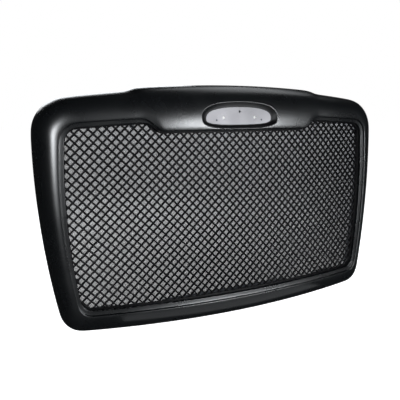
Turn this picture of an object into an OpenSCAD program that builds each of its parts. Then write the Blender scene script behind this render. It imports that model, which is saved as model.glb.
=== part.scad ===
// Front grille of a heavy truck: moulded surround, diamond mesh, emblem plate and a bug screen.
// X runs across the truck, +Y points back into the hood, +Z is up. The origin lies in the plane
// on which the four outer hood studs seat, at the middle of their pattern.

/* [Opening] */
// Half width of the opening at its widest
lip_half_w = 523; // [480:1:540]
// Height of the opening's top edge on the centre line of its arch
lip_top_z = 267.6; // [262:0.1:272]
// Height of the lowered top edge under the emblem housing
lip_mid_z = 233.5; // [225:0.5:240]
// Height of the opening's bottom edge on the centre line
lip_low_z = -276; // [-280:1:-268]
// Corner radius of the opening
lip_r = 41; // [30:1:50]

/* [Surround] */
// Half width of the surround at its widest
rim_half_w = 591; // [582:1:602]
// Height of the surround's top edge on the centre line of its arch
rim_top_z = 362; // [356:1:368]
// How much higher the emblem housing stands than that arch
housing_rise = 9; // [4:1:14]
// Height of the surround's bottom edge on the centre line
rim_low_z = -354; // [-360:1:-348]
// Radius of the upper corners
rim_top_r = 100; // [82:1:112]
// Radius of the lower corners
rim_low_r = 56; // [47:1:68]
// How far the surround's rear edge lies behind the mesh
rim_back = 58; // [54:1:64]
// How far the front face stands ahead of the mesh
face_ahead = 23; // [20:1:28]
// Extra height of the emblem housing's face
housing_ahead = 6; // [2:1:10]
// Wall thickness of the moulding
wall = 4; // [3:0.5:5]
// Radius of the bow across the whole grille
bow_r = 3500; // [3200:50:4000]

/* [Mesh] */
// Pitch of the diamonds, point to point
mesh_pitch = 25; // [24:0.5:28]
// Width of one mesh bar
bar_w = 5.4; // [4:0.2:7]
// Thickness of the mesh panel
mesh_t = 7; // [6:0.5:8]

/* [Emblem] */
// Width of the emblem plate
plate_w = 225; // [200:1:232]
// Distance between the two main holes of the plate
plate_hole_gap = 108; // [90:1:120]
// Diameter of the plate's main holes
plate_hole_d = 8; // [5:0.5:9]

/* [Mounting] */
// Distance between the outer hood studs across the truck
stud_gap_x = 860; // [840:5:880]
// Distance between the inner hood studs across the truck
stud_gap_inner = 400; // [360:5:440]
// Height between the upper and the lower hood studs
stud_gap_z = 596; // [592:1:600]
// Diameter of the hood studs
stud_d = 8; // [6:1:8]
// How far the studs stand behind the seats
stud_out = 26; // [20:1:32]

/* [Hidden] */

$fn = 48;
mesh_y = -bow(stud_gap_x / 2) - rim_back;   // front of the mesh on the centre line
side_z = 80;                 // height at which the opening is widest
lip_side_k = 2.7e-4;         // curvature terms of the opening's sides, top and bottom
lip_top_k = -7.5e-5;
lip_low_k = 4e-5;
rim_side_z = 200;
rim_side_k = 2.05e-4;         // and of the surround's
rim_top_k = -1.1e-4;
rim_low_k = 6.3e-5;
notch_out = 293;             // the lip steps down from here ...
notch_in = 251;              // ... to here
step_out = 336;              // and the top edge steps up between these
step_in = 306;
ledge = 12;                  // width of the step round the opening
ledge_mid = 3;               // and under the emblem housing
lip_back = 2;                // the lip's rear edge, ahead of the mesh
lip_front = 15;              // the lip's front edge, ahead of the mesh
roll = 2.45;                  // exponent of the front face's rounded section
flange = 26;                 // how far the mesh border reaches behind the lip
sight = 5;                   // how much of the border shows inside the lip
screen_gap = 1;              // air between the mesh border and the screen frame
screen_t = 6;                // thickness of the screen frame
sheet_t = 1;                 // thickness of the screen sheet
screw_u = 20;                // distance of the mesh screws outside the lip
pivot_u = 20;                // distance of the retainer pivots outside the lip
retainer_t = 3;
retainer_w = 12;
retainer_l = 30;             // from the pivot to the end's round
plate_t = 2;
plate_up = 33;               // height of the plate above its widest line, and below it
plate_down = 19;
plate_z = 270;
plate_hole_z = 272;
top_hole_z = 290;            // a smaller hole above the main two
plate_ahead = 14;            // front of the emblem plate, ahead of the mesh
pocket_half_w = 129;
pocket_up = 44;
pocket_down = 31.5;
pocket_z = 273;
pocket_wall = 3;
pocket_low = [225, 29];      // the pocket's sloped rim: height, and distance ahead of the mesh
pocket_high = [325, 16.5];
bracket_t = 3;
bracket_w = 72;
bracket_h = 34;
tower_gap = 50;              // distance between the two towers of a bracket
tower_r = 7;
tower_fronts = [11, 11.5]; // how far ahead of the mesh the upper and lower corner towers reach
strip_fronts = [17, 15.5];   // and the towers of the inner brackets
strip_l = stud_gap_inner + 68;
strip_h = 28;
strip_hole_x = stud_gap_inner / 2 + 24;
inner_y = bow(stud_gap_inner / 2) - bow(stud_gap_x / 2);
screw_r = 2.2;               // thread radius of every plastic screw
thread_gap = 0.15;           // between that and the hole it cuts
head_r = 4.4;                // countersunk heads
stud_collar = 0.5;           // knurled collar that holds a stud in its bracket
boss_r = 5;
hub_r = 6;                   // bosses of the retainers
boss_gap = 0.2;              // air between the mesh border and its bosses
shoulder_r = 3;
shoulder_l = 4.3;            // from the pivot's boss to the screw head
pivot_f = -mesh_t - screen_gap - screen_t - 0.2;   // seat of the retainer on its boss
screen_mid = -mesh_t - screen_gap - screen_t / 2;
pocket_back = 9;             // back of the emblem pocket, ahead of the mesh
rivet_x = 78;
rivet_z = 265;
rivet_r = 1.6;
rivet_head_r = 3.2;
rivet_l = 9;
rivet_sink = 1.3;            // depth of the countersinks, which leave the plate's face flat
cross_z = -5;                // height of a crossing of bars on the centre line
bar_grid = 100;              // bars bend at multiples of this
layer_gap = 0.05;
past = 1;                    // how far cutters overshoot
seal_front = -rim_back + 8;
seal_back = -rim_back - 8;
seal_w = 8;
seal_slant = 0.9;            // the wall leans in by this over the seal's height

// ---- curves ----
function lerp(a, b, t) = a + (b - a) * t;
function bow(x) = bow_r - sqrt(bow_r * bow_r - x * x);
function side_x(s, z) = s[0] - s[1] * pow(z - s[2], 2);
function arch_z(a, x) = a[0] + a[1] * x * x;
function side_turn(s, z) = atan(2 * s[1] * (z - s[2]));
function arch_turn(a, x, up) = up * 90 + up * atan(2 * a[1] * x) * (up > 0 ? 1 : -1);

// Centre of a corner arc that touches both a side curve and an arch, found in a few steps.
function corner(s, a, r, up, c = [450, 0], left = 8) =
  left == 0 ? c : corner(s, a, r, up, [
    side_x(s, c.y + r * sin(side_turn(s, c.y))) - r * cos(side_turn(s, c.y)),
    arch_z(a, c.x + r * cos(arch_turn(a, c.x, up))) - r * sin(arch_turn(a, c.x, up))], left - 1);

function arc(c, r, from, to, n) =
  [for (i = [0:n - 1]) c + r * [cos(lerp(from, to, i / n)), sin(lerp(from, to, i / n))]];

// The right half of a closed outline, from the bottom centre to the top centre.
// step holds the outer end, the inner end and the height at the centre arch [z, k].
function half_outline(side, low, top, low_r, top_r, step, mid) =
  let (cl = corner(side, low, low_r, -1), ct = corner(side, top, top_r, 1),
       fl = arch_turn(low, cl.x, -1), tl = side_turn(side, cl.y),
       ft = side_turn(side, ct.y), tt = arch_turn(top, ct.x, 1),
       xl = cl.x + low_r * cos(fl), xt = ct.x + top_r * cos(tt),
       z0 = cl.y + low_r * sin(tl), z1 = ct.y + top_r * sin(ft))
  concat(
    [for (i = [0:11]) [xl * i / 12, arch_z(low, xl * i / 12)]],
    arc(cl, low_r, fl, tl, 9),
    [for (i = [0:9]) [side_x(side, lerp(z0, z1, i / 10)), lerp(z0, z1, i / 10)]],
    arc(ct, top_r, ft, tt, 11),
    [for (i = [0:4]) [lerp(xt, step[0], i / 5), arch_z(top, lerp(xt, step[0], i / 5))]],
    [for (i = [0:3]) let (x = lerp(step[0], step[1], i / 4))
      [x, lerp(arch_z(top, step[0]), arch_z(mid, step[1]), i / 4)]],
    [for (i = [0:9]) [step[1] * (1 - i / 9), arch_z(mid, step[1] * (1 - i / 9))]]);

function whole(half) = concat(half, [for (i = [len(half) - 2:-1:1]) [-half[i].x, half[i].y]]);

lip_side = [lip_half_w, lip_side_k, side_z];
lip = whole(half_outline(lip_side, [lip_low_z, lip_low_k], [lip_top_z, lip_top_k],
  lip_r, lip_r, [notch_out, notch_in], [lip_mid_z, 0]));
rim = whole(half_outline([rim_half_w, rim_side_k, rim_side_z], [rim_low_z, rim_low_k],
  [rim_top_z, rim_top_k], rim_low_r, rim_top_r, [step_out, step_in],
  [rim_top_z + housing_rise, rim_top_k]));
count = len(lip);
// 1 over the emblem housing, 0 elsewhere, sloped between
housing = [for (p = lip) p.y < 0 ? 0 : min(1, max(0, (notch_out - abs(p.x)) / (notch_out - notch_in)))];

function band(i) = norm(rim[i] - lip[i]);
// A point u outside the lip and f ahead of the mesh, at station i
function outward(i, u) = lip[i] + (rim[i] - lip[i]) * u / band(i);
function spot(i, u, f) = let (p = outward(i, u)) [p.x, mesh_y + bow(p.x) - f, p.y];
function place(x, z, f) = [x, mesh_y + bow(x) - f, z];
function outline(u) = [for (i = [0:count - 1]) outward(i, u)];

// Rounded section of the band at station i: s runs from the ledge (0) to the flank (1), and in is
// the depth below the outer skin.
function face_f(i, s, in) = -rim_back
  + (face_ahead + housing_ahead * housing[i] - in + rim_back) * pow(1 - pow(s, roll), 1 / roll);
function ledge_w(i) = lerp(ledge, ledge_mid, housing[i]);
function face_u(i, s, in) = ledge_w(i) + 1 + in * 0.6 + s * (band(i) - ledge_w(i) - 1 - in * 1.6);
face_steps = [0.06, 0.2, 0.34, 0.48, 0.6, 0.7, 0.79, 0.87, 0.93, 0.97, 0.99, 1];
back_steps = [1, 0.98, 0.93, 0.85, 0.74, 0.6, 0.42, 0.22, 0.06];

// One closed section of the moulding: out over the lip and the face, back along the inside.
function section(i) = let (a = ledge_w(i), crown = face_f(i, 0, 0)) concat(
  [[0, lip_back], [0, lip_front - 3], [1, lip_front - 1], [3, lip_front], [a - 1, lip_front + 1],
   [a, lip_front + 2], [a + 0.4, crown - 2.5], [a + 1.6, crown - 0.7]],
  [for (s = face_steps) [face_u(i, s, 0), face_f(i, s, 0)]],
  [for (s = back_steps) [face_u(i, s, wall), face_f(i, s, wall)]],
  [[a + wall, lip_front + 1 - wall], [wall, lip_front - wall], [wall, lip_back]]);

// ---- building blocks ----
// A closed ring swept through all stations
module ring(rows) {
  n = len(rows[0]);
  m = len(rows);
  points = [for (row = rows) for (p = row) p];
  faces = [for (i = [0:m - 1]) for (j = [0:n - 1])
    let (a = i * n + j, b = i * n + (j + 1) % n, c = ((i + 1) % m) * n + (j + 1) % n,
         d = ((i + 1) % m) * n + j)
    each [[a, b, c], [a, c, d]]];
  polyhedron(points, faces, convexity = 10);
}

// Stands a flat shape up on the front, facing forward, from f_back to f_front ahead of the mesh
module upright(y, depth) translate([0, y, 0]) rotate([90, 0, 0]) linear_extrude(depth) children();

// A flat shape bent to the grille's bow
module bowed(f_back, f_front) intersection() {
  upright(mesh_y + 80, 140) children();
  translate([0, mesh_y + bow_r, -400]) difference() {
    cylinder(r = bow_r + f_front, h = 800, $fn = 720);
    translate([0, 0, -1]) cylinder(r = bow_r + f_back, h = 802, $fn = 720);
  }
}

// Puts children at a place on the bow with their +Z pointing forward, square to the surface
module at(x, z, f) translate([x, mesh_y + bow(x), z]) rotate([90, 0, asin(x / bow_r)])
  translate([0, 0, f]) children();
// The same with no turn, for what stands square to the hood
module square_at(x, y, z) translate([x, y, z]) rotate([90, 0, 0]) children();

// A lying egg, more square below than above
function rounded(v, e) = sign(v) * pow(abs(v), e);
function egg(half_w, up, down, n = 64) = [for (i = [0:n - 1])
  let (t = 360 * i / n, top = t < 180, e = top ? 2 / 2.5 : 2 / 3.2)
  [half_w * rounded(cos(t), e), (top ? up : down) * rounded(sin(t), e)]];

module plate_outline() translate([0, plate_z]) polygon(egg(plate_w / 2, plate_up, plate_down));
module pocket_outline(grow) translate([0, pocket_z])
  polygon(egg(pocket_half_w + grow, pocket_up + grow, pocket_down + grow));
plate_holes = [[-plate_hole_gap / 2, plate_hole_z, plate_hole_d / 2],
  [plate_hole_gap / 2, plate_hole_z, plate_hole_d / 2], [0, top_hole_z, plate_hole_d / 2 - 1]];

// Mesh screws: every few stations round the lip, both halves alike
screw_stations = [for (k = [2, 8, 16, 24, 28, 36, 43, 50, 54]) each [k, count - k]];
// Retainer pivots: stations of the right half, and their mirror images
low_key = 4;
side_key = 22;
top_key = 46;
pivots = [for (k = [low_key, side_key, top_key]) each [k, count - k]];

// ---- sub-parts ----
module surround() color([0.07, 0.07, 0.075]) difference() {
  ring([for (i = [0:count - 1]) [for (q = section(i)) spot(i, q[0], q[1])]]);
  upright(mesh_y - 5, 60) pocket_outline(pocket_wall);
}

// The cup behind the emblem plate, bonded into the housing; its rim follows the housing's slope
module emblem_pocket() color([0.05, 0.05, 0.055]) intersection() {
  difference() {
    upright(mesh_y - pocket_back, 40) pocket_outline(pocket_wall - 0.1);
    upright(mesh_y - plate_ahead + plate_t, 60) pocket_outline(0);
    for (h = plate_holes) square_at(h[0], mesh_y, h[1]) cylinder(r = h[2], h = 40);
    for (sx = [-1, 1]) square_at(sx * rivet_x, mesh_y, rivet_z) cylinder(r = rivet_r, h = 40);
  }
  translate([-plate_w, 0, 0]) rotate([90, 0, 90]) linear_extrude(2 * plate_w)
    polygon([[mesh_y - pocket_back, pocket_low.x], [mesh_y - pocket_low.y, pocket_low.x],
      [mesh_y - pocket_high.y, pocket_high.x], [mesh_y - pocket_back, pocket_high.x]]);
}

// Boss for a mesh screw; under the emblem it ends on the pocket's floor
function boss_top(k) = abs(lip[k].x) < 135 && lip[k].y > 0 ? pocket_back + 1
  : face_ahead + housing_ahead * housing[k] - 2;
module screw_bosses() color([0.07, 0.07, 0.075]) for (k = screw_stations) screw_boss(k);
module screw_boss(k) let (p = outward(k, screw_u)) at(p.x, p.y, boss_gap) difference() {
  cylinder(r = boss_r, h = boss_top(k) - boss_gap);
  translate([0, 0, -past]) cylinder(r = screw_r + thread_gap, h = 8 + past);
}

// Screw towers from the back of the face to the brackets' seats
module bracket_towers() color([0.07, 0.07, 0.075]) for (sx = [-1, 1]) {
  for (x = tower_xs(sx)) {
    tower(x, stud_gap_z / 2, -bracket_t, tower_fronts[0]);
    tower(x, -stud_gap_z / 2, -bracket_t, tower_fronts[1]);
  }
  tower(sx * strip_hole_x, stud_gap_z / 2, inner_y - bracket_t, strip_fronts[0]);
  tower(sx * strip_hole_x, -stud_gap_z / 2, inner_y - bracket_t, strip_fronts[1]);
}
function tower_xs(sx) = [for (t = [-tower_gap, tower_gap]) (sx * stud_gap_x + t) / 2];

module tower(x, z, y, front) let (h = y - (mesh_y + bow(x) - front))
  square_at(x, y, z) difference() {
    cylinder(r = tower_r, h = h);
    translate([0, 0, -past]) cylinder(r = screw_r + thread_gap, h = 20);
  }

module mesh_border() color([0.05, 0.05, 0.055]) {
  difference() {
    bowed(-mesh_t, 0) difference() {
      polygon(outline(flange));
      polygon(outline(-sight));
    }
    for (k = screw_stations) let (p = outward(k, screw_u))
      at(p.x, p.y, -2 * mesh_t) cylinder(r = screw_r + 2 * thread_gap, h = 3 * mesh_t);
    for (k = pivots) pivot_at(k, -2 * mesh_t) cylinder(r = screw_r, h = 2 * mesh_t - 1.5);
    for (sx = [-1, 1], x = concat(tower_xs(sx), [sx * strip_hole_x]))
      square_at(x, 0, -stud_gap_z / 2) cylinder(r = tower_r + 1, h = 200);
  }
  for (k = pivots) pivot_at(k, pivot_f) difference() {
    cylinder(r = hub_r, h = -mesh_t + 1 - pivot_f);
    translate([0, 0, -past]) cylinder(r = screw_r, h = 20);
  }
}

// The x at which a bar along z = dir * x + c leaves the opening, on either side
function bar_ends(dir, c, edge) = let (xs = [for (i = [0:count - 1])
    let (p = edge[i], q = edge[(i + 1) % count], dp = p.y - dir * p.x - c, dq = q.y - dir * q.x - c)
    if ((dp > 0) != (dq > 0)) lerp(p.x, q.x, dp / (dp - dq))])
  len(xs) < 2 ? [] : [min(xs), max(xs)];

// Bars break at the same x, so that the two layers stay parallel over the bow
function bar_rows(dir, c, ends, f_back, f_front) = let (h = bar_w * sqrt(0.5), g = bar_grid,
    cuts = [for (k = [ceil(ends[0] / g + 0.02):floor(ends[1] / g - 0.02)]) k * g])
  [for (x = concat([ends[0]], cuts, [ends[1]]))
    [for (q = [[-h, f_front], [-h, f_back], [h, f_back], [h, f_front]])
      place(x, dir * x + c + q[0], q[1])]];

module mesh_lattice() color([0.05, 0.05, 0.055]) {
  edge = outline(2 - sight);
  reach = ceil((lip_half_w + rim_top_z) / mesh_pitch);
  bars = [for (dir = [-1, 1], k = [-reach:reach])
    let (c = cross_z + k * mesh_pitch, ends = bar_ends(dir, c, edge))
    if (len(ends) == 2 && ends[1] - ends[0] > bar_w)
      bar_rows(dir, c, ends, dir > 0 ? -mesh_t / 2 + layer_gap : -mesh_t,
        dir > 0 ? 0 : -mesh_t / 2 - layer_gap)];
  bar_set(bars);
}

// Many swept bars of four-cornered section as one polyhedron
module bar_set(bars) {
  starts = [for (b = 0, sum = 0; b < len(bars); sum = sum + 4 * len(bars[b]), b = b + 1) sum];
  points = [for (bar = bars) for (row = bar) for (p = row) p];
  faces = [for (b = [0:len(bars) - 1]) let (s = starts[b], e = s + 4 * (len(bars[b]) - 1))
    each concat(
      [[s, s + 1, s + 2], [s, s + 2, s + 3], [e, e + 2, e + 1], [e, e + 3, e + 2]],
      [for (r = [0:len(bars[b]) - 2]) for (j = [0:3])
        let (a = s + 4 * r + j, d = s + 4 * r + (j + 1) % 4)
        each [[a, a + 4, d + 4], [a, d + 4, d]]])];
  polyhedron(points, faces, convexity = 10);
}

module mesh_gasket() color([0.12, 0.12, 0.12]) bowed(0.05, lip_back - 0.15) difference() {
  polygon(outline(wall - 0.3));
  polygon(outline(0.3));
}

module mesh_screws() color([0.2, 0.2, 0.21]) for (k = screw_stations)
  let (p = outward(k, screw_u)) at(p.x, p.y, -mesh_t) {
    cylinder(r = screw_r, h = 2 * mesh_t);
    translate([0, 0, -1]) cylinder(r = 6, h = 0.95);
    translate([0, 0, -3]) cylinder(r = 4, h = 2.5, $fn = 6);
  }

module emblem_plate() color([0.68, 0.69, 0.71]) difference() {
  upright(mesh_y - plate_ahead + plate_t, plate_t) plate_outline();
  for (h = plate_holes) square_at(h[0], mesh_y, h[1]) cylinder(r = h[2], h = 40);
  for (sx = [-1, 1]) square_at(sx * rivet_x, mesh_y, rivet_z) {
    cylinder(r = rivet_r, h = 40);
    translate([0, 0, plate_ahead - rivet_sink])
      cylinder(r1 = rivet_r, r2 = rivet_head_r, h = rivet_sink);
  }
}

module plate_rivets() color([0.6, 0.61, 0.62]) for (sx = [-1, 1])
  square_at(sx * rivet_x, mesh_y - plate_ahead + 0.1, rivet_z) {
    translate([0, 0, -rivet_l]) cylinder(r = rivet_r - thread_gap, h = rivet_l - 0.1);
    translate([0, 0, -rivet_sink])
      cylinder(r1 = rivet_r - thread_gap, r2 = rivet_head_r - 0.3, h = rivet_sink);
  }

module plate_clips() color([0.5, 0.5, 0.52]) for (sx = [-1, 1])
  square_at(sx * rivet_x, mesh_y - pocket_back + 1, rivet_z) difference() {
    cylinder(r = 5.5, h = 0.9);
    translate([0, 0, -past]) cylinder(r = rivet_r, h = 4);
  }

module bug_screen() color([0.35, 0.36, 0.37])
  bowed(screen_mid - sheet_t / 2, screen_mid + sheet_t / 2) polygon(outline(4));

module screen_frame() color([0.09, 0.09, 0.09])
  bowed(-mesh_t - screen_gap - screen_t, -mesh_t - screen_gap) difference() {
    polygon(outline(10));
    polygon(outline(-2));
  }

// Places children at a retainer's pivot, +Z forward and +Y across the edge, away from the opening
module pivot_at(k, f) let (p = outward(k, pivot_u), d = rim[k] - lip[k])
  at(p.x, p.y, f) rotate([0, 0, atan2(d.y, d.x) - 90]) children();

// Quarter-turn tab: pivots on its screw and holds the screen frame with its long end
module retainer(k) color([0.1, 0.1, 0.1]) pivot_at(k, pivot_f - 0.1 - retainer_t) difference() {
  union() {
    cylinder(r = 9, h = retainer_t);
    translate([-retainer_w / 2, -retainer_l, 0]) cube([retainer_w, retainer_l, retainer_t]);
    translate([0, -retainer_l, 0]) cylinder(r = retainer_w / 2, h = retainer_t);
    translate([-1.5, -retainer_l - 2, -6]) cube([3, 18, 6 + retainer_t / 2]);
  }
  translate([0, 0, -past]) cylinder(r = shoulder_r + 0.06, h = retainer_t + 2 * past);
}

module retainer_screws() color([0.25, 0.25, 0.26]) for (k = pivots)
  pivot_at(k, pivot_f) {
    cylinder(r = screw_r - thread_gap, h = 10);
    translate([0, 0, -shoulder_l]) cylinder(r = shoulder_r, h = shoulder_l - 0.02);
    translate([0, 0, -shoulder_l - 3]) difference() {
      cylinder(r = hub_r, h = 3);
      translate([0, 0, -past]) cylinder(r = 2.5, h = 3, $fn = 6);
    }
  }

module retainer_washers() color([0.5, 0.5, 0.52]) for (k = pivots)
  pivot_at(k, pivot_f - shoulder_l + 0.03) difference() {
    cylinder(r = 7, h = 0.9);
    translate([0, 0, -past]) cylinder(r = shoulder_r + 0.06, h = 3);
  }

module countersunk_hole() {
  translate([0, 0, -past]) cylinder(r = screw_r + 0.2, h = bracket_t + 2 * past);
  translate([0, 0, -0.01]) cylinder(r1 = head_r + 0.2, r2 = screw_r + 0.2, h = 2.4);
}

// A bracket's plate lies on its towers, with its back on the hood
module corner_bracket(sx, sz) color([0.16, 0.16, 0.17])
  square_at(sx * stud_gap_x / 2, 0, sz * stud_gap_z / 2) difference() {
    translate([-bracket_w / 2, -bracket_h / 2, 0]) cube([bracket_w, bracket_h, bracket_t]);
    translate([0, 0, -past]) cylinder(r = stud_d / 2 + stud_collar, h = bracket_t + 2 * past);
    for (t = [-1, 1]) translate([t * tower_gap / 2, 0, 0]) countersunk_hole();
  }

module strip_bracket(sz) color([0.16, 0.16, 0.17])
  square_at(0, inner_y, sz * stud_gap_z / 2) difference() {
    translate([-strip_l / 2, -strip_h / 2, 0]) cube([strip_l, strip_h, bracket_t]);
    for (t = [-1, 1]) {
      translate([t * stud_gap_inner / 2, 0, -past])
        cylinder(r = stud_d / 2 + stud_collar, h = bracket_t + 2 * past);
      translate([t * strip_hole_x, 0, 0]) countersunk_hole();
    }
  }

module flush_screw(x, y, z) square_at(x, y, z) {
  translate([0, 0, 0.05]) cylinder(r1 = head_r, r2 = screw_r, h = 2.3);
  cylinder(r = screw_r, h = 18);
}

module bracket_screws() color([0.3, 0.3, 0.31]) for (sx = [-1, 1], sz = [-1, 1]) {
  for (x = tower_xs(sx)) flush_screw(x, 0, sz * stud_gap_z / 2);
  flush_screw(sx * strip_hole_x, inner_y, sz * stud_gap_z / 2);
}

// Stud pressed into a bracket from the front, with its shank pointing back
module hood_stud(x, y, z) square_at(x, y, z) {
  translate([0, 0, -stud_out]) cylinder(r = stud_d / 2, h = stud_out);
  cylinder(r = stud_d / 2 + stud_collar, h = bracket_t + past);
  translate([0, 0, bracket_t]) cylinder(r = stud_d, h = 3);
}

module hood_studs(gap, y) color([0.72, 0.72, 0.73])
  for (sx = [-1, 1], sz = [-1, 1]) hood_stud(sx * gap / 2, y, sz * stud_gap_z / 2);

// Foam strip inside the rear edge, over the stations from first to last
module seal(first, last) color([0.14, 0.14, 0.15]) {
  rows = [for (j = [first:last]) let (i = j % count, w = band(i) - wall - 0.3)
    [for (q = [[w - seal_w, seal_front], [w - seal_w, seal_back], [w, seal_back],
               [w - seal_slant, seal_front]])
      spot(i, q[0], q[1])]];
  bar_set([rows]);
}

surround();
emblem_pocket();
screw_bosses();
bracket_towers();
mesh_border();
mesh_lattice();
mesh_gasket();
mesh_screws();
emblem_plate();
plate_rivets();
plate_clips();
bug_screen();
screen_frame();
retainer(count - low_key);  // retainer_low_left
retainer(low_key);  // retainer_low_right
retainer(count - side_key);  // retainer_side_left
retainer(side_key);  // retainer_side_right
retainer(count - top_key);  // retainer_top_left
retainer(top_key);  // retainer_top_right
retainer_screws();
retainer_washers();
corner_bracket(-1, 1);  // bracket_top_left
corner_bracket(1, 1);  // bracket_top_right
corner_bracket(-1, -1);  // bracket_low_left
corner_bracket(1, -1);  // bracket_low_right
strip_bracket(1);  // bracket_inner_top
strip_bracket(-1);  // bracket_inner_low
bracket_screws();
hood_studs(stud_gap_x, 0);  // hood_studs_outer
hood_studs(stud_gap_inner, inner_y);  // hood_studs_inner
seal(39, count - 39);  // top_seal
seal(count - 12, count + 12);  // bottom_seal
seal(count - 34, count - 20);  // left_seal
seal(20, 34);  // right_seal
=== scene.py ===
import bpy, bmesh, math
import numpy as np
from mathutils import Matrix, Vector
from mathutils.bvhtree import BVHTree


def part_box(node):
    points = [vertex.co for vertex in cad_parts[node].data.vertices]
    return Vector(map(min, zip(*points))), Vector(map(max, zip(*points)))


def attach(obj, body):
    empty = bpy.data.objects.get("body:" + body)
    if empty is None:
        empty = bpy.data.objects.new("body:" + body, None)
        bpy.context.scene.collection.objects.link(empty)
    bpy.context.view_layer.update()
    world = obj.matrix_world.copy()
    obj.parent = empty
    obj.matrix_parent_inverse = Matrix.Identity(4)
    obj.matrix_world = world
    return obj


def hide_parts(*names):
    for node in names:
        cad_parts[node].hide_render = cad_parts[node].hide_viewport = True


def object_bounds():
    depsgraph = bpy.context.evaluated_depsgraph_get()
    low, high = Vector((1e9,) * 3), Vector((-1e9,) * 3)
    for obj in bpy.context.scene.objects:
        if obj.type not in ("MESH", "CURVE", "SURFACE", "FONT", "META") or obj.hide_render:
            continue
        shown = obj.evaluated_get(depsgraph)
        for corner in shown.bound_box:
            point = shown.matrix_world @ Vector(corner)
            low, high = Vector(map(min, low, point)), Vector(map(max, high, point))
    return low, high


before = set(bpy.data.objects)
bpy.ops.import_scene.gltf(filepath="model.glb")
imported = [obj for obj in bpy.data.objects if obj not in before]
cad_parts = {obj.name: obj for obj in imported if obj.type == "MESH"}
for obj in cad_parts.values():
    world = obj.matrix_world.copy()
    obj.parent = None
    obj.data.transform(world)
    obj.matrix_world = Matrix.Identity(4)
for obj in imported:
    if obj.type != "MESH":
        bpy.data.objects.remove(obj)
cadLow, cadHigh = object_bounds()
mm = 0.001

# Sizes below are in millimetres; they repeat the design's driving dimensions.
bowRadius = 3500
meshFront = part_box("mesh_lattice")[0].y / mm      # front of the mesh on the centre line
opening = dict(halfWidth=523, sideBend=2.7e-4, sideHeight=80, top=267.6, topBend=-7.5e-5,
               middle=233.5, middleBend=0, low=-276, lowBend=4e-5, lowCorner=41, topCorner=41,
               stepOut=293, stepIn=251)
rim = dict(halfWidth=591, sideBend=2.05e-4, sideHeight=200, top=362, topBend=-1.1e-4,
           middle=371, middleBend=-1.1e-4, low=-354, lowBend=6.3e-5, lowCorner=56, topCorner=100,
           stepOut=336, stepIn=306)
# points along half an outline, the same for every outline so that their points pair up
parts = dict(low=44, lowCorner=20, side=40, topCorner=26, top=18, step=9, middle=45)


def lerp(a, b, t):
    return a + (b - a) * t


def bow(x):
    return bowRadius - math.sqrt(bowRadius ** 2 - x * x)


def sideX(o, z):
    return o["halfWidth"] - o["sideBend"] * (z - o["sideHeight"]) ** 2


def archZ(height, bend, x):
    return height + bend * x * x


def arc(centre, radius, start, end, count):
    return [(centre[0] + radius * math.cos(lerp(start, end, i / count)),
             centre[1] + radius * math.sin(lerp(start, end, i / count))) for i in range(count)]


def corner(o, radius, height, bend, up):      # centre and end angles of an arc that touches side and arch
    x, z = 450, 0      # a rough start; each pass brings the centre closer
    for _ in range(8):
        side = math.atan(2 * o["sideBend"] * (z - o["sideHeight"]))
        arch = up * math.pi / 2 + math.atan(2 * bend * x)
        x, z = (sideX(o, z + radius * math.sin(side)) - radius * math.cos(side),
                archZ(height, bend, x + radius * math.cos(arch)) - radius * math.sin(arch))
    return (x, z), side, arch


def outline(o):      # a closed outline, anticlockwise from the bottom centre
    low, lowSide, lowArch = corner(o, o["lowCorner"], o["low"], o["lowBend"], -1)
    top, topSide, topArch = corner(o, o["topCorner"], o["top"], o["topBend"], 1)
    lowEnd = low[0] + o["lowCorner"] * math.cos(lowArch)
    topEnd = top[0] + o["topCorner"] * math.cos(topArch)
    z0 = low[1] + o["lowCorner"] * math.sin(lowSide)
    z1 = top[1] + o["topCorner"] * math.sin(topSide)
    n = parts
    half = [(lowEnd * i / n["low"], archZ(o["low"], o["lowBend"], lowEnd * i / n["low"]))
            for i in range(n["low"])]
    half += arc(low, o["lowCorner"], lowArch, lowSide, n["lowCorner"])
    heights = [lerp(z0, z1, i / n["side"]) for i in range(n["side"])]
    half += [(sideX(o, z), z) for z in heights]
    half += arc(top, o["topCorner"], topSide, topArch, n["topCorner"])
    xs = [lerp(topEnd, o["stepOut"], i / n["top"]) for i in range(n["top"])]
    half += [(x, archZ(o["top"], o["topBend"], x)) for x in xs]
    outer = archZ(o["top"], o["topBend"], o["stepOut"])
    inner = archZ(o["middle"], o["middleBend"], o["stepIn"])
    half += [(lerp(o["stepOut"], o["stepIn"], i / n["step"]), lerp(outer, inner, i / n["step"]))
             for i in range(n["step"])]
    xs = [o["stepIn"] * (1 - i / n["middle"]) for i in range(n["middle"] + 1)]
    half += [(x, archZ(o["middle"], o["middleBend"], x)) for x in xs]
    return np.array(half + [(-x, z) for x, z in half[-2:0:-1]])


def softened(values, passes):      # rounds the kinks of a closed run of values
    for _ in range(passes):
        values = 0.25 * np.roll(values, 1, 0) + 0.5 * values + 0.25 * np.roll(values, -1, 0)
    return values


lipRaw = outline(opening)
housing = np.clip((opening["stepOut"] - abs(lipRaw[:, 0])) / (opening["stepOut"] - opening["stepIn"]), 0, 1)
housing = softened(np.where(lipRaw[:, 1] < 0, 0, housing), 3)      # 1 over the emblem housing, 0 elsewhere
lip, rimLine = softened(lipRaw, 3), softened(outline(rim), 12)
band = np.linalg.norm(rimLine - lip, axis=1)


def offsetLine(u):      # the outline u outside the lip
    return lip + (rimLine - lip) * (np.asarray(u) / band)[:, None]


def onBow(x, z, ahead):      # a point ahead of the mesh's front, in metres
    return (x * mm, (meshFront + bow(x) - ahead) * mm, z * mm)


def linear(hexColour):
    parts = [int(hexColour[i:i + 2], 16) / 255 for i in (1, 3, 5)]
    return [c / 12.92 if c <= 0.04045 else ((c + 0.055) / 1.055) ** 2.4 for c in parts] + [1.0]


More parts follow.
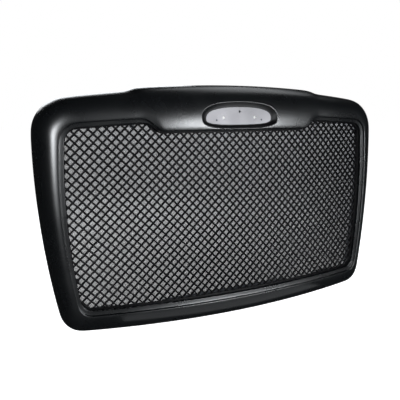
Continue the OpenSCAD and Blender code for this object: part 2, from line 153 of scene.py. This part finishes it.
def addNode(tree, kind, settings=None, **inputs):
    # inputs go by the socket's name, with _ for a space, or by its number, as in i0
    node = tree.nodes.new(kind)
    for key, value in (settings or {}).items():
        setattr(node, key, value)
    for key, value in inputs.items():
        numbered = key[0] == "i" and key[1:].isdigit()
        socket = node.inputs[int(key[1:]) if numbered else key.replace("_", " ")]
        if isinstance(value, bpy.types.NodeSocket):
            tree.links.new(value, socket)
        else:
            socket.default_value = value
    return node


cloudSize = 90      # mm across the slow changes of tone and gloss


def newMaterial(name, colour, roughness, metallic=0.0, grain=None, bump=0.0, tone=0.0, coat=0.0,
                wear=0.05, specular=0.5):
    # grain: size of the surface's texture in mm; bump: its depth in mm;
    # tone and wear: how far the colour and the roughness wander
    material = bpy.data.materials.new(name)
    material.use_nodes = True
    tree = material.node_tree
    shader = tree.nodes["Principled BSDF"]
    shader.inputs["Metallic"].default_value = metallic
    shader.inputs["Specular IOR Level"].default_value = specular
    if coat:
        shader.inputs["Coat Weight"].default_value = coat
        shader.inputs["Coat Roughness"].default_value = 0.25
    place = addNode(tree, "ShaderNodeTexCoord")
    cloud = addNode(tree, "ShaderNodeTexNoise", Vector=place.outputs["Object"],
                    Scale=1 / (cloudSize * mm), Detail=3.0)
    rough = addNode(tree, "ShaderNodeMapRange", Value=cloud.outputs["Fac"], From_Min=0.3,
                    From_Max=0.7, To_Min=roughness - wear, To_Max=roughness + wear)
    tree.links.new(rough.outputs[0], shader.inputs["Roughness"])
    base = linear(colour)
    light = [min(1, c * (1 + tone)) for c in base[:3]] + [1]
    dark = [c * (1 - tone) for c in base[:3]] + [1]
    mix = addNode(tree, "ShaderNodeMix", {"data_type": "RGBA"}, Factor=cloud.outputs["Fac"],
                  i6=dark, i7=light)
    tree.links.new(mix.outputs[2], shader.inputs["Base Color"])
    if grain:
        pits = addNode(tree, "ShaderNodeTexNoise", Vector=place.outputs["Object"],
                       Scale=1 / (grain * mm), Detail=2.0)
        height = addNode(tree, "ShaderNodeBump", Height=pits.outputs["Fac"], Strength=1.0,
                         Distance=bump * mm)
        tree.links.new(height.outputs["Normal"], shader.inputs["Normal"])
    return material


print("materials")
# ABS, moulded with a fine matt grain: deep black with broad soft reflections
mattAbs = newMaterial("mattAbs", "#060708", 0.28, grain=1.6, bump=0.010, tone=0.15, wear=0.03)
# the same resin on the mesh, its reflection held far below the usual so that the bars stay near black
satinAbs = newMaterial("satinAbs", "#040405", 0.36, grain=1.2, bump=0.006, tone=0.15, specular=0.07)
# the same resin left rough inside the emblem's recess
roughAbs = newMaterial("roughAbs", "#040405", 0.5, grain=1.2, bump=0.01, tone=0.15, specular=0.2)
# aluminium sheet, bead blasted and clear anodised: even silver grey with no direction
satinAluminium = newMaterial("satinAluminium", "#7b7a7c", 0.62, metallic=1.0, grain=1.0,
                             bump=0.008, tone=0.03)
# aluminium rivets, dulled: darker than the plate they sit in
rivetAluminium = newMaterial("rivetAluminium", "#3c3d40", 0.5, metallic=1.0, tone=0.03)
# drawn aluminium wire, woven, dulled by a thin grey coating
coatedWire = newMaterial("coatedWire", "#55575b", 0.42, metallic=1.0, tone=0.05)
# PVC edge binding
boundPvc = newMaterial("boundPvc", "#141516", 0.5, grain=1.5, bump=0.01, tone=0.15)
# glass-filled nylon, moulded: slightly mottled black
filledNylon = newMaterial("filledNylon", "#18191a", 0.48, grain=0.9, bump=0.02, tone=0.25)
# steel under black electrocoat: smooth, with a low shine
coatedSteel = newMaterial("coatedSteel", "#15161a", 0.32, grain=2.5, bump=0.006, tone=0.1, coat=0.3)
# steel screws, zinc plated and passivated black: dark with a metal shine
blackZinc = newMaterial("blackZinc", "#3a3b3f", 0.34, metallic=0.9, tone=0.15)
# bright zinc plated steel
zincSteel = newMaterial("zincSteel", "#b9bbbd", 0.27, metallic=1.0, grain=1.0, bump=0.004, tone=0.1)
# stamped spring steel, lightly oiled: mid grey and smooth
springSteel = newMaterial("springSteel", "#8d8f94", 0.3, metallic=1.0, tone=0.1)
# EPDM foam strip: dull black with open pores in its skin
foamRubber = newMaterial("foamRubber", "#1a1a1a", 0.85, grain=1.4, bump=0.15, tone=0.3)


def newPiece(name, points, faces, material):
    mesh = bpy.data.meshes.new(name)
    mesh.from_pydata([tuple(p) for p in points], [], faces)
    mesh.update()
    return linkPiece(name, mesh, material)


def linkPiece(name, mesh, material, sharp=32):
    work = bmesh.new()
    work.from_mesh(mesh)
    bmesh.ops.recalc_face_normals(work, faces=work.faces)
    for face in work.faces:
        face.smooth = True
    work.to_mesh(mesh)
    work.free()
    mesh.set_sharp_from_angle(angle=math.radians(sharp))
    mesh.materials.clear()
    mesh.materials.append(material)
    piece = bpy.data.objects.new(name, mesh)
    bpy.context.scene.collection.objects.link(piece)
    return piece


def sweptFaces(rows, columns):      # quads round a ring of closed sections, one row of points for each
    return [(i * columns + j, i * columns + (j + 1) % columns,
             (i + 1) % rows * columns + (j + 1) % columns, (i + 1) % rows * columns + j)
            for i in range(rows) for j in range(columns)]


def withModifiers(piece):      # bakes a piece's modifiers into its mesh
    graph = bpy.context.evaluated_depsgraph_get()
    mesh = bpy.data.meshes.new_from_object(piece.evaluated_get(graph))
    piece.modifiers.clear()
    piece.data = mesh
    return piece


def cutBy(piece, cutter):
    change = piece.modifiers.new("cut", "BOOLEAN")
    change.operation, change.solver, change.object = "DIFFERENCE", "EXACT", cutter
    withModifiers(piece)
    bpy.data.objects.remove(cutter)
    for face in piece.data.polygons:
        face.use_smooth = True
    piece.data.set_sharp_from_angle(angle=math.radians(32))
    return piece


def fitted(piece, body, slot, *nodes):
    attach(piece, body)
    if nodes:
        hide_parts(*nodes)
    return piece


def egg(grow, size=None, n=128):      # outline of the emblem pocket or plate: flat below, arched above
    size, line = size or pocket, []
    for i in range(n):
        t = 2 * math.pi * i / n
        power, height = (2 / 2.5, size["up"]) if t < math.pi else (2 / 3.2, size["down"])
        line.append(((size["halfWidth"] + grow) * math.copysign(abs(math.cos(t)) ** power, math.cos(t)),
                     size["z"] + (height + grow) * math.copysign(abs(math.sin(t)) ** power, math.sin(t))))
    return line


print("surround")
moulding = dict(ledge=12, ledgeMiddle=3, lipBack=2, lipFront=15, lipRound=2, face=23, housing=5.7,
                back=58, wall=4, roll=2.45, riserRound=3)
pocket = dict(halfWidth=129, up=44, down=31.5, z=273, wall=3, floor=12, back=9, fillet=3.0)


def faceAhead(i, s, inside):      # height of the rounded face at s, from 0 at the ledge to 1 at the flank
    m = moulding
    return -m["back"] + (m["face"] + m["housing"] * housing[i] - inside + m["back"]) * (
        1 - s ** m["roll"]) ** (1 / m["roll"])


def section(i):      # (distance outside the lip, distance ahead of the mesh) round the moulding's wall
    m = moulding
    ledge = lerp(m["ledge"], m["ledgeMiddle"], housing[i])
    crown = faceAhead(i, 0, 0)
    start, width = ledge + 1, band[i] - ledge - 1
    lipRound, riserRound = m["lipRound"], m["riserRound"]
    line = [(0, m["lipBack"])]
    line += [(lipRound - lipRound * math.cos(t), m["lipFront"] - lipRound + lipRound * math.sin(t))
             for t in np.linspace(0, math.pi / 2, 5)]
    line += [(ledge - 1.6, m["lipFront"] + 0.4), (ledge - 0.5, m["lipFront"] + 0.8),
             (ledge, m["lipFront"] + 1.8)]
    line += [(ledge + 0.4 + riserRound - riserRound * math.cos(t), crown - 3.2 + riserRound * math.sin(t))
             for t in np.linspace(0, 1.45, 6)]
    for s in np.sin(np.linspace(0.1, math.pi / 2, 34)):
        line.append((start + s * width, faceAhead(i, s, 0)))
    for s in np.sin(np.linspace(math.pi / 2, 0.1, 16)):
        line.append((start + m["wall"] * 0.6 + s * (width - m["wall"] * 1.6), faceAhead(i, s, m["wall"])))
    line += [(ledge + m["wall"], m["lipFront"] + 1 - m["wall"]),
             (m["wall"], m["lipFront"] - m["wall"]), (m["wall"], m["lipBack"])]
    return line


def bowedRing(name, profileAt, material):      # a ring round the opening; profileAt(i) is its section
    points = []
    for i in range(len(lip)):
        out = (rimLine[i] - lip[i]) / band[i]
        for u, ahead in profileAt(i):
            x, z = lip[i] + out * u
            points.append(onBow(x, z, ahead))
    return newPiece(name, points, sweptFaces(len(lip), len(points) // len(lip)), material)


def swept(name, loops, material):      # closed solid through loops of equal count, capped at both ends
    n = len(loops[0])
    points = [p for loop in loops for p in loop]
    faces = [(i * n + j, i * n + (j + 1) % n, (i + 1) * n + (j + 1) % n, (i + 1) * n + j)
             for i in range(len(loops) - 1) for j in range(n)]
    faces += [tuple(range(n)), tuple((len(loops) - 1) * n + j for j in range(n))]
    return newPiece(name, points, faces, material)


def flatLoop(line, ahead):
    return [(x * mm, (meshFront - ahead) * mm, z * mm) for x, z in line]


shell = bowedRing("surroundShell", section, mattAbs)
skin = BVHTree.FromObject(shell, bpy.context.evaluated_depsgraph_get())


def onSkin(x, z, ahead):      # a point ahead of the surround's front skin
    hit = skin.ray_cast(Vector((x * mm, meshFront * mm - 0.2, z * mm)), Vector((0, 1, 0)))[0]
    return (x * mm, hit.y - ahead * mm, z * mm)


def skinLoop(grow, ahead):
    return [onSkin(x, z, ahead) for x, z in egg(grow)]


turns = np.linspace(0, math.pi / 2, 7)
mouth = [skinLoop(pocket["fillet"] * (1 - math.cos(t)), pocket["fillet"] * (math.sin(t) - 1)) for t in turns]
overMouth = pocket["fillet"] + 0.3
cutter = swept("mouthCutter", [flatLoop(egg(0), 4)] + mouth
               + [skinLoop(overMouth, 1.5), flatLoop(egg(overMouth), 70)], mattAbs)
fitted(cutBy(shell, cutter), "grille", "moulded_abs", "surround")


def drill(piece, x, z, radius):
    ring = [(x + radius * math.cos(t), z + radius * math.sin(t))
            for t in np.linspace(0, 2 * math.pi, 33)[:-1]]
    return cutBy(piece, swept("drill", [flatLoop(ring, -30), flatLoop(ring, 60)], mattAbs))


def funnelLoop(t):      # the pocket's inner wall, from its mouth (0) in to the edge of the plate (1)
    wide, mouthLoop = egg(0), skinLoop(0, -pocket["fillet"] - 0.1)
    line = [(lerp(a[0], b[0], t), lerp(a[1], b[1], t)) for a, b in zip(wide, plateEdge)]
    depth = math.sin(math.pi / 2 * t)
    return [(x * mm, lerp(p[1], (meshFront - pocket["floor"]) * mm, depth), z * mm)
            for (x, z), p in zip(line, mouthLoop)]


plate = dict(halfWidth=112.5, up=33, down=19, z=270)
plateEdge = egg(1, plate)
cupOutside = [flatLoop(egg(pocket["wall"] - 1), pocket["back"]),
              flatLoop(egg(pocket["wall"]), pocket["back"] + 1), skinLoop(pocket["wall"], -3.6)]
cup = swept("emblemPocket", cupOutside + [funnelLoop(t) for t in np.linspace(0, 1, 8)], roughAbs)
cupHoles = [(-54, 272, 6), (54, 272, 6), (0, 290, 5)]      # x, z and radius; wider than the plate's own
for x, z, radius in cupHoles:
    drill(cup, x, z, radius)
fitted(cup, "grille", "moulded_abs", "emblem_pocket")

print("mesh panel")
lattice = dict(pitch=25, barWidth=5.4, barDepth=7, edge=2.2, crossing=-5, sight=5, flange=26,
               step=24)


def crossings(direction, c, line):      # where the line z = direction * x + c leaves the outline
    p, q = line, np.roll(line, -1, 0)
    dp, dq = p[:, 1] - direction * p[:, 0] - c, q[:, 1] - direction * q[:, 0] - c
    found = np.where((dp > 0) != (dq > 0))[0]
    xs = p[found, 0] + (q[found, 0] - p[found, 0]) * dp[found] / (dp[found] - dq[found])
    return (xs.min(), xs.max()) if len(xs) > 1 else None


def guideLines(name, lines):      # an object of single edges, one for each bar or wire, in metres
    mesh = bpy.data.meshes.new(name)
    mesh.from_pydata([p for line in lines for p in line],
                     [(2 * i, 2 * i + 1) for i in range(len(lines))], [])
    guide = bpy.data.objects.new(name, mesh)
    bpy.context.scene.collection.objects.link(guide)
    return guide


def barTree():      # every edge becomes a bar of rounded section that follows the grille's bow
    tree = bpy.data.node_groups.new("bowedBars", "GeometryNodeTree")
    face = tree.interface
    face.new_socket("Geometry", in_out="OUTPUT", socket_type="NodeSocketGeometry")
    for name, kind in (("Geometry", "Geometry"), ("Width", "Float"), ("Depth", "Float"),
                       ("Edge radius", "Float"), ("Edge steps", "Int"), ("Step", "Float"),
                       ("Bow radius", "Float"), ("Material", "Material")):
        face.new_socket(name, in_out="INPUT", socket_type="NodeSocket" + kind)
    given = addNode(tree, "NodeGroupInput").outputs
    curve = addNode(tree, "GeometryNodeMeshToCurve", i0=given["Geometry"])
    fine = addNode(tree, "GeometryNodeResampleCurve", {"mode": "LENGTH"}, Curve=curve.outputs[0],
                   Length=given["Step"])
    where = addNode(tree, "GeometryNodeInputPosition")
    axes = addNode(tree, "ShaderNodeSeparateXYZ", i0=where.outputs[0])
    square = addNode(tree, "ShaderNodeMath", {"operation": "MULTIPLY"}, i0=axes.outputs[0],
                     i1=axes.outputs[0])
    whole = addNode(tree, "ShaderNodeMath", {"operation": "MULTIPLY"}, i0=given["Bow radius"],
                    i1=given["Bow radius"])
    rest = addNode(tree, "ShaderNodeMath", {"operation": "SUBTRACT"}, i0=whole.outputs[0],
                   i1=square.outputs[0])
    root = addNode(tree, "ShaderNodeMath", {"operation": "SQRT"}, i0=rest.outputs[0])
    back = addNode(tree, "ShaderNodeMath", {"operation": "SUBTRACT"}, i0=given["Bow radius"],
                   i1=root.outputs[0])
    shift = addNode(tree, "ShaderNodeCombineXYZ", Y=back.outputs[0])
    bent = addNode(tree, "GeometryNodeSetPosition", Geometry=fine.outputs[0], Offset=shift.outputs[0])
    turned = addNode(tree, "GeometryNodeSetCurveNormal", {"mode": "FREE"}, Curve=bent.outputs[0],
                     Normal=(0, -1, 0))
    profile = addNode(tree, "GeometryNodeCurvePrimitiveQuadrilateral", i0=given["Depth"],
                      i1=given["Width"])
    rounded = addNode(tree, "GeometryNodeFilletCurve", {"mode": "POLY"}, Curve=profile.outputs[0],
                      Radius=given["Edge radius"], Count=given["Edge steps"])
    solid = addNode(tree, "GeometryNodeCurveToMesh", Curve=turned.outputs[0],
                    Profile_Curve=rounded.outputs[0], Fill_Caps=True)
    real = addNode(tree, "GeometryNodeRealizeInstances", Geometry=solid.outputs[0])
    coloured = addNode(tree, "GeometryNodeSetMaterial", Geometry=real.outputs[0],
                       Material=given["Material"])
    end = addNode(tree, "NodeGroupOutput")
    tree.links.new(coloured.outputs[0], end.inputs[0])
    return tree


def fromTree(source, tree, values, name, sharp=32):      # runs a node tree and keeps the plain mesh
    change = source.modifiers.new("made", "NODES")
    change.node_group = tree
    sockets = {s.name: s.identifier for s in tree.interface.items_tree if s.in_out == "INPUT"}
    for key, value in values.items():
        change[sockets[key]] = value
    graph = bpy.context.evaluated_depsgraph_get()
    mesh = bpy.data.meshes.new_from_object(source.evaluated_get(graph))
    bpy.data.objects.remove(source)
    return linkPiece(name, mesh, values["Material"], sharp)


bars = barTree()
edge = offsetLine(2 - lattice["sight"])
middle = (meshFront + lattice["barDepth"] / 2) * mm
reach = math.ceil((opening["halfWidth"] + rim["top"]) / lattice["pitch"])
lines = []
for direction in (-1, 1):
    for k in range(-reach, reach + 1):
        c = lattice["crossing"] + k * lattice["pitch"]
        ends = crossings(direction, c, edge)
        if ends and ends[1] - ends[0] > lattice["barWidth"]:
            lines.append([(x * mm, middle, (direction * x + c) * mm) for x in ends])
barPiece = fromTree(guideLines("barGuide", lines), bars, {
    "Width": lattice["barWidth"] * mm, "Depth": lattice["barDepth"] * mm,
    "Edge radius": lattice["edge"] * mm, "Edge steps": 2, "Step": lattice["step"] * mm,
    "Bow radius": bowRadius * mm, "Material": satinAbs}, "meshBars")
fitted(barPiece, "grille", "mesh_abs", "mesh_lattice")


def roundedBox(u0, u1, f0, f1, radius, steps=3):      # section of a ring with rounded edges
    turn = math.pi / 2 / steps
    corners = [(u0 + radius, f0 + radius, math.pi), (u1 - radius, f0 + radius, 1.5 * math.pi),
               (u1 - radius, f1 - radius, 0), (u0 + radius, f1 - radius, 0.5 * math.pi)]
    return [(u + radius * math.cos(a + turn * k), f + radius * math.sin(a + turn * k))
            for u, f, a in corners for k in range(steps + 1)]


borderSection = roundedBox(-lattice["sight"], lattice["flange"], -lattice["barDepth"], 0, 1)
border = bowedRing("meshBorder", lambda i: borderSection, satinAbs)
fitted(border, "grille", "mesh_abs", "mesh_border")

print("bug screen")
# the wires are drawn wider and further apart than real ones, so that the weave shows
screen = dict(pitch=2.2, wire=1.12, behind=11, reach=4, step=60, frame=(-2, 10, -14, -8))
screenEdge = offsetLine(screen["reach"])
xs, zs = screenEdge[:, 0], screenEdge[:, 1]


def spanAt(value, along, across):      # lowest and highest crossing of the outline at one coordinate
    p, q = along, np.roll(along, -1)
    found = np.where((p > value) != (q > value))[0]
    part = (value - p[found]) / (q[found] - p[found])
    reached = across[found] + part * (np.roll(across, -1)[found] - across[found])
    return reached.min(), reached.max()


halfWire = screen["wire"] / 2
behind = meshFront + screen["behind"]
uprights, levels = [], []


def wireSteps(values):      # the places of the wires between the lowest and highest of some values
    first = math.ceil((values.min() + 1) / screen["pitch"])
    last = math.floor((values.max() - 1) / screen["pitch"])
    return [k * screen["pitch"] for k in range(first, last + 1)]


for x in wireSteps(xs):
    uprights.append([(x * mm, (behind - halfWire) * mm, z * mm) for z in spanAt(x, xs, zs)])
for z in wireSteps(zs):
    levels.append([(x * mm, (behind + halfWire) * mm, z * mm) for x in spanAt(z, zs, xs)])
wires = {"Width": screen["wire"] * mm, "Depth": screen["wire"] * mm,
         "Edge radius": screen["wire"] * 0.3 * mm, "Edge steps": 1, "Bow radius": bowRadius * mm,
         "Material": coatedWire}
uprightWires = fromTree(guideLines("uprightGuide", uprights), bars, {**wires, "Step": 1.0},
                        "uprightWires", 60)
levelWires = fromTree(guideLines("levelGuide", levels), bars,
                      {**wires, "Step": screen["step"] * mm}, "levelWires", 60)
fitted(uprightWires, "grille", "screen_wire", "bug_screen")
fitted(levelWires, "grille", "screen_wire", "bug_screen")
bindingSection = roundedBox(*screen["frame"], 1.5)
binding = bowedRing("screenBinding", lambda i: bindingSection, boundPvc)
fitted(binding, "grille", "frame_plastic", "screen_frame")


print("fittings")


def eased(name, node, body, material, slot, width):      # a CAD node's shape with its edges rounded
    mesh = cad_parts[node].data.copy()
    work = bmesh.new()
    work.from_mesh(mesh)
    bmesh.ops.remove_doubles(work, verts=work.verts, dist=1e-5)
    bmesh.ops.dissolve_limit(work, angle_limit=math.radians(1), verts=work.verts, edges=work.edges)
    work.to_mesh(mesh)
    work.free()
    piece = linkPiece(name, mesh, material)
    change = piece.modifiers.new("edges", "BEVEL")
    change.width, change.segments, change.limit_method = width * mm, 2, "ANGLE"
    change.angle_limit = math.radians(35)
    change.use_clamp_overlap = True
    piece.modifiers.new("even", "WEIGHTED_NORMAL").keep_sharp = True
    withModifiers(piece)
    return fitted(piece, body, slot, node)


eased("emblemPlate", "emblem_plate", "grille", satinAluminium, "satin_aluminium", 0.5)
for side in ("top_left", "top_right", "low_left", "low_right", "inner_top", "inner_low"):
    eased("bracket." + side, "bracket_" + side, "grille", coatedSteel, "coated_steel", 0.6)
for where in ("low", "side", "top"):
    for hand in ("left", "right"):
        eased(f"retainer.{where}.{hand}", f"retainer_{where}_{hand}", f"tab_{where}_{hand}",
              filledNylon, "nylon", 0.7)
for node, material in (("screw_bosses", mattAbs), ("bracket_towers", mattAbs), ("mesh_gasket", foamRubber),
                       ("mesh_screws", blackZinc), ("plate_rivets", rivetAluminium),
                       ("plate_clips", springSteel),
                       ("retainer_screws", blackZinc), ("retainer_washers", springSteel),
                       ("bracket_screws", blackZinc), ("hood_studs_outer", zincSteel),
                       ("hood_studs_inner", zincSteel), ("top_seal", foamRubber),
                       ("bottom_seal", foamRubber), ("left_seal", foamRubber),
                       ("right_seal", foamRubber)):
    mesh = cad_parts[node].data
    mesh.materials.clear()
    mesh.materials.append(material)


print("studio")


def areaLight(name, azimuth, elevation, distance, size, radiance, target=(0, -0.1, 0.2)):
    # angles are from straight ahead of the target, to the right and up; sizes and distance in metres
    turn, rise = math.radians(azimuth), math.radians(elevation)
    away = Vector((math.sin(turn) * math.cos(rise), -math.cos(turn) * math.cos(rise), math.sin(rise)))
    lamp = bpy.data.lights.new(name, "AREA")
    lamp.shape, lamp.size, lamp.size_y = "RECTANGLE", size[0], size[1]
    lamp.energy = radiance * math.pi * size[0] * size[1]
    lamp.color = (0.94, 0.97, 1.0)
    lit = bpy.data.objects.new(name, lamp)
    lit.matrix_world = (Matrix.Translation(Vector(target) + away * distance)
                        @ away.to_track_quat("Z", "Y").to_matrix().to_4x4())
    lit.visible_camera = False
    bpy.context.scene.collection.objects.link(lit)


areaLight("rightStrip", 21, 2, 3.2, (0.62, 0.8), 54)
areaLight("rightBox", 36, 2, 3.2, (0.55, 0.8), 29)
areaLight("leftBox", -29, 4, 3.2, (0.9, 0.8), 54, (-0.55, -0.06, 0.2))
areaLight("topBox", 115, 55, 2.4, (1.6, 1.2), 1.8, (0, 0, 0.35))
areaLight("backBox", 180, 25, 2.6, (2.0, 1.0), 4)
areaLight("lowStrip", 0, -90, 1, (0.75, 0.13), 0.6, (0, -0.175, cadLow.z + 1.001))

# the room is white to look at and gives almost no light of its own
world = bpy.data.worlds.new("paleRoom")
bpy.context.scene.world = world
world.use_nodes = True
sky = world.node_tree
path = addNode(sky, "ShaderNodeLightPath")
glow = addNode(sky, "ShaderNodeMix", {"data_type": "RGBA"}, Factor=path.outputs["Is Camera Ray"],
               i6=(0.01, 0.01, 0.01, 1), i7=(1, 1, 1, 1))
sky.links.new(glow.outputs[2], sky.nodes["Background"].inputs["Color"])

ground, far = cadLow.z - 0.0005, 40
floorMesh = bpy.data.meshes.new("floor")
floorMesh.from_pydata([(-far, -far, ground), (far, -far, ground), (far, far, ground),
                       (-far, far, ground)], [], [(0, 1, 2, 3)])
floor = bpy.data.objects.new("floor", floorMesh)
floorPaint = bpy.data.materials.new("whiteSweep")
floorPaint.use_nodes = True
paint = floorPaint.node_tree.nodes["Principled BSDF"]
paint.inputs["Base Color"].default_value = linear("#f4f4f4")
paint.inputs["Roughness"].default_value = 0.9
paint.inputs["Emission Color"].default_value = (1, 1, 1, 1)
paint.inputs["Emission Strength"].default_value = 1.0
floorMesh.materials.append(floorPaint)
bpy.context.scene.collection.objects.link(floor)
floor.visible_glossy = False

print("camera")
view = dict(place=(-794.6, -1442.7, 266.5), yaw=26.10, pitch=8.93, roll=-0.69, lens=45.873)
lensData = bpy.data.cameras.new("camera")
lensData.lens, lensData.sensor_width = view["lens"], 36
lensData.clip_start, lensData.clip_end = 0.05, 200
camera = bpy.data.objects.new("camera", lensData)
camera.matrix_world = (Matrix.Translation(Vector(view["place"]) * mm)
                       @ Matrix.Rotation(math.radians(-view["yaw"]), 4, "Z")
                       @ Matrix.Rotation(math.radians(90 - view["pitch"]), 4, "X")
                       @ Matrix.Rotation(math.radians(view["roll"]), 4, "Z"))
bpy.context.scene.collection.objects.link(camera)
bpy.context.scene.camera = camera
bpy.context.scene.view_settings.view_transform = "Standard"
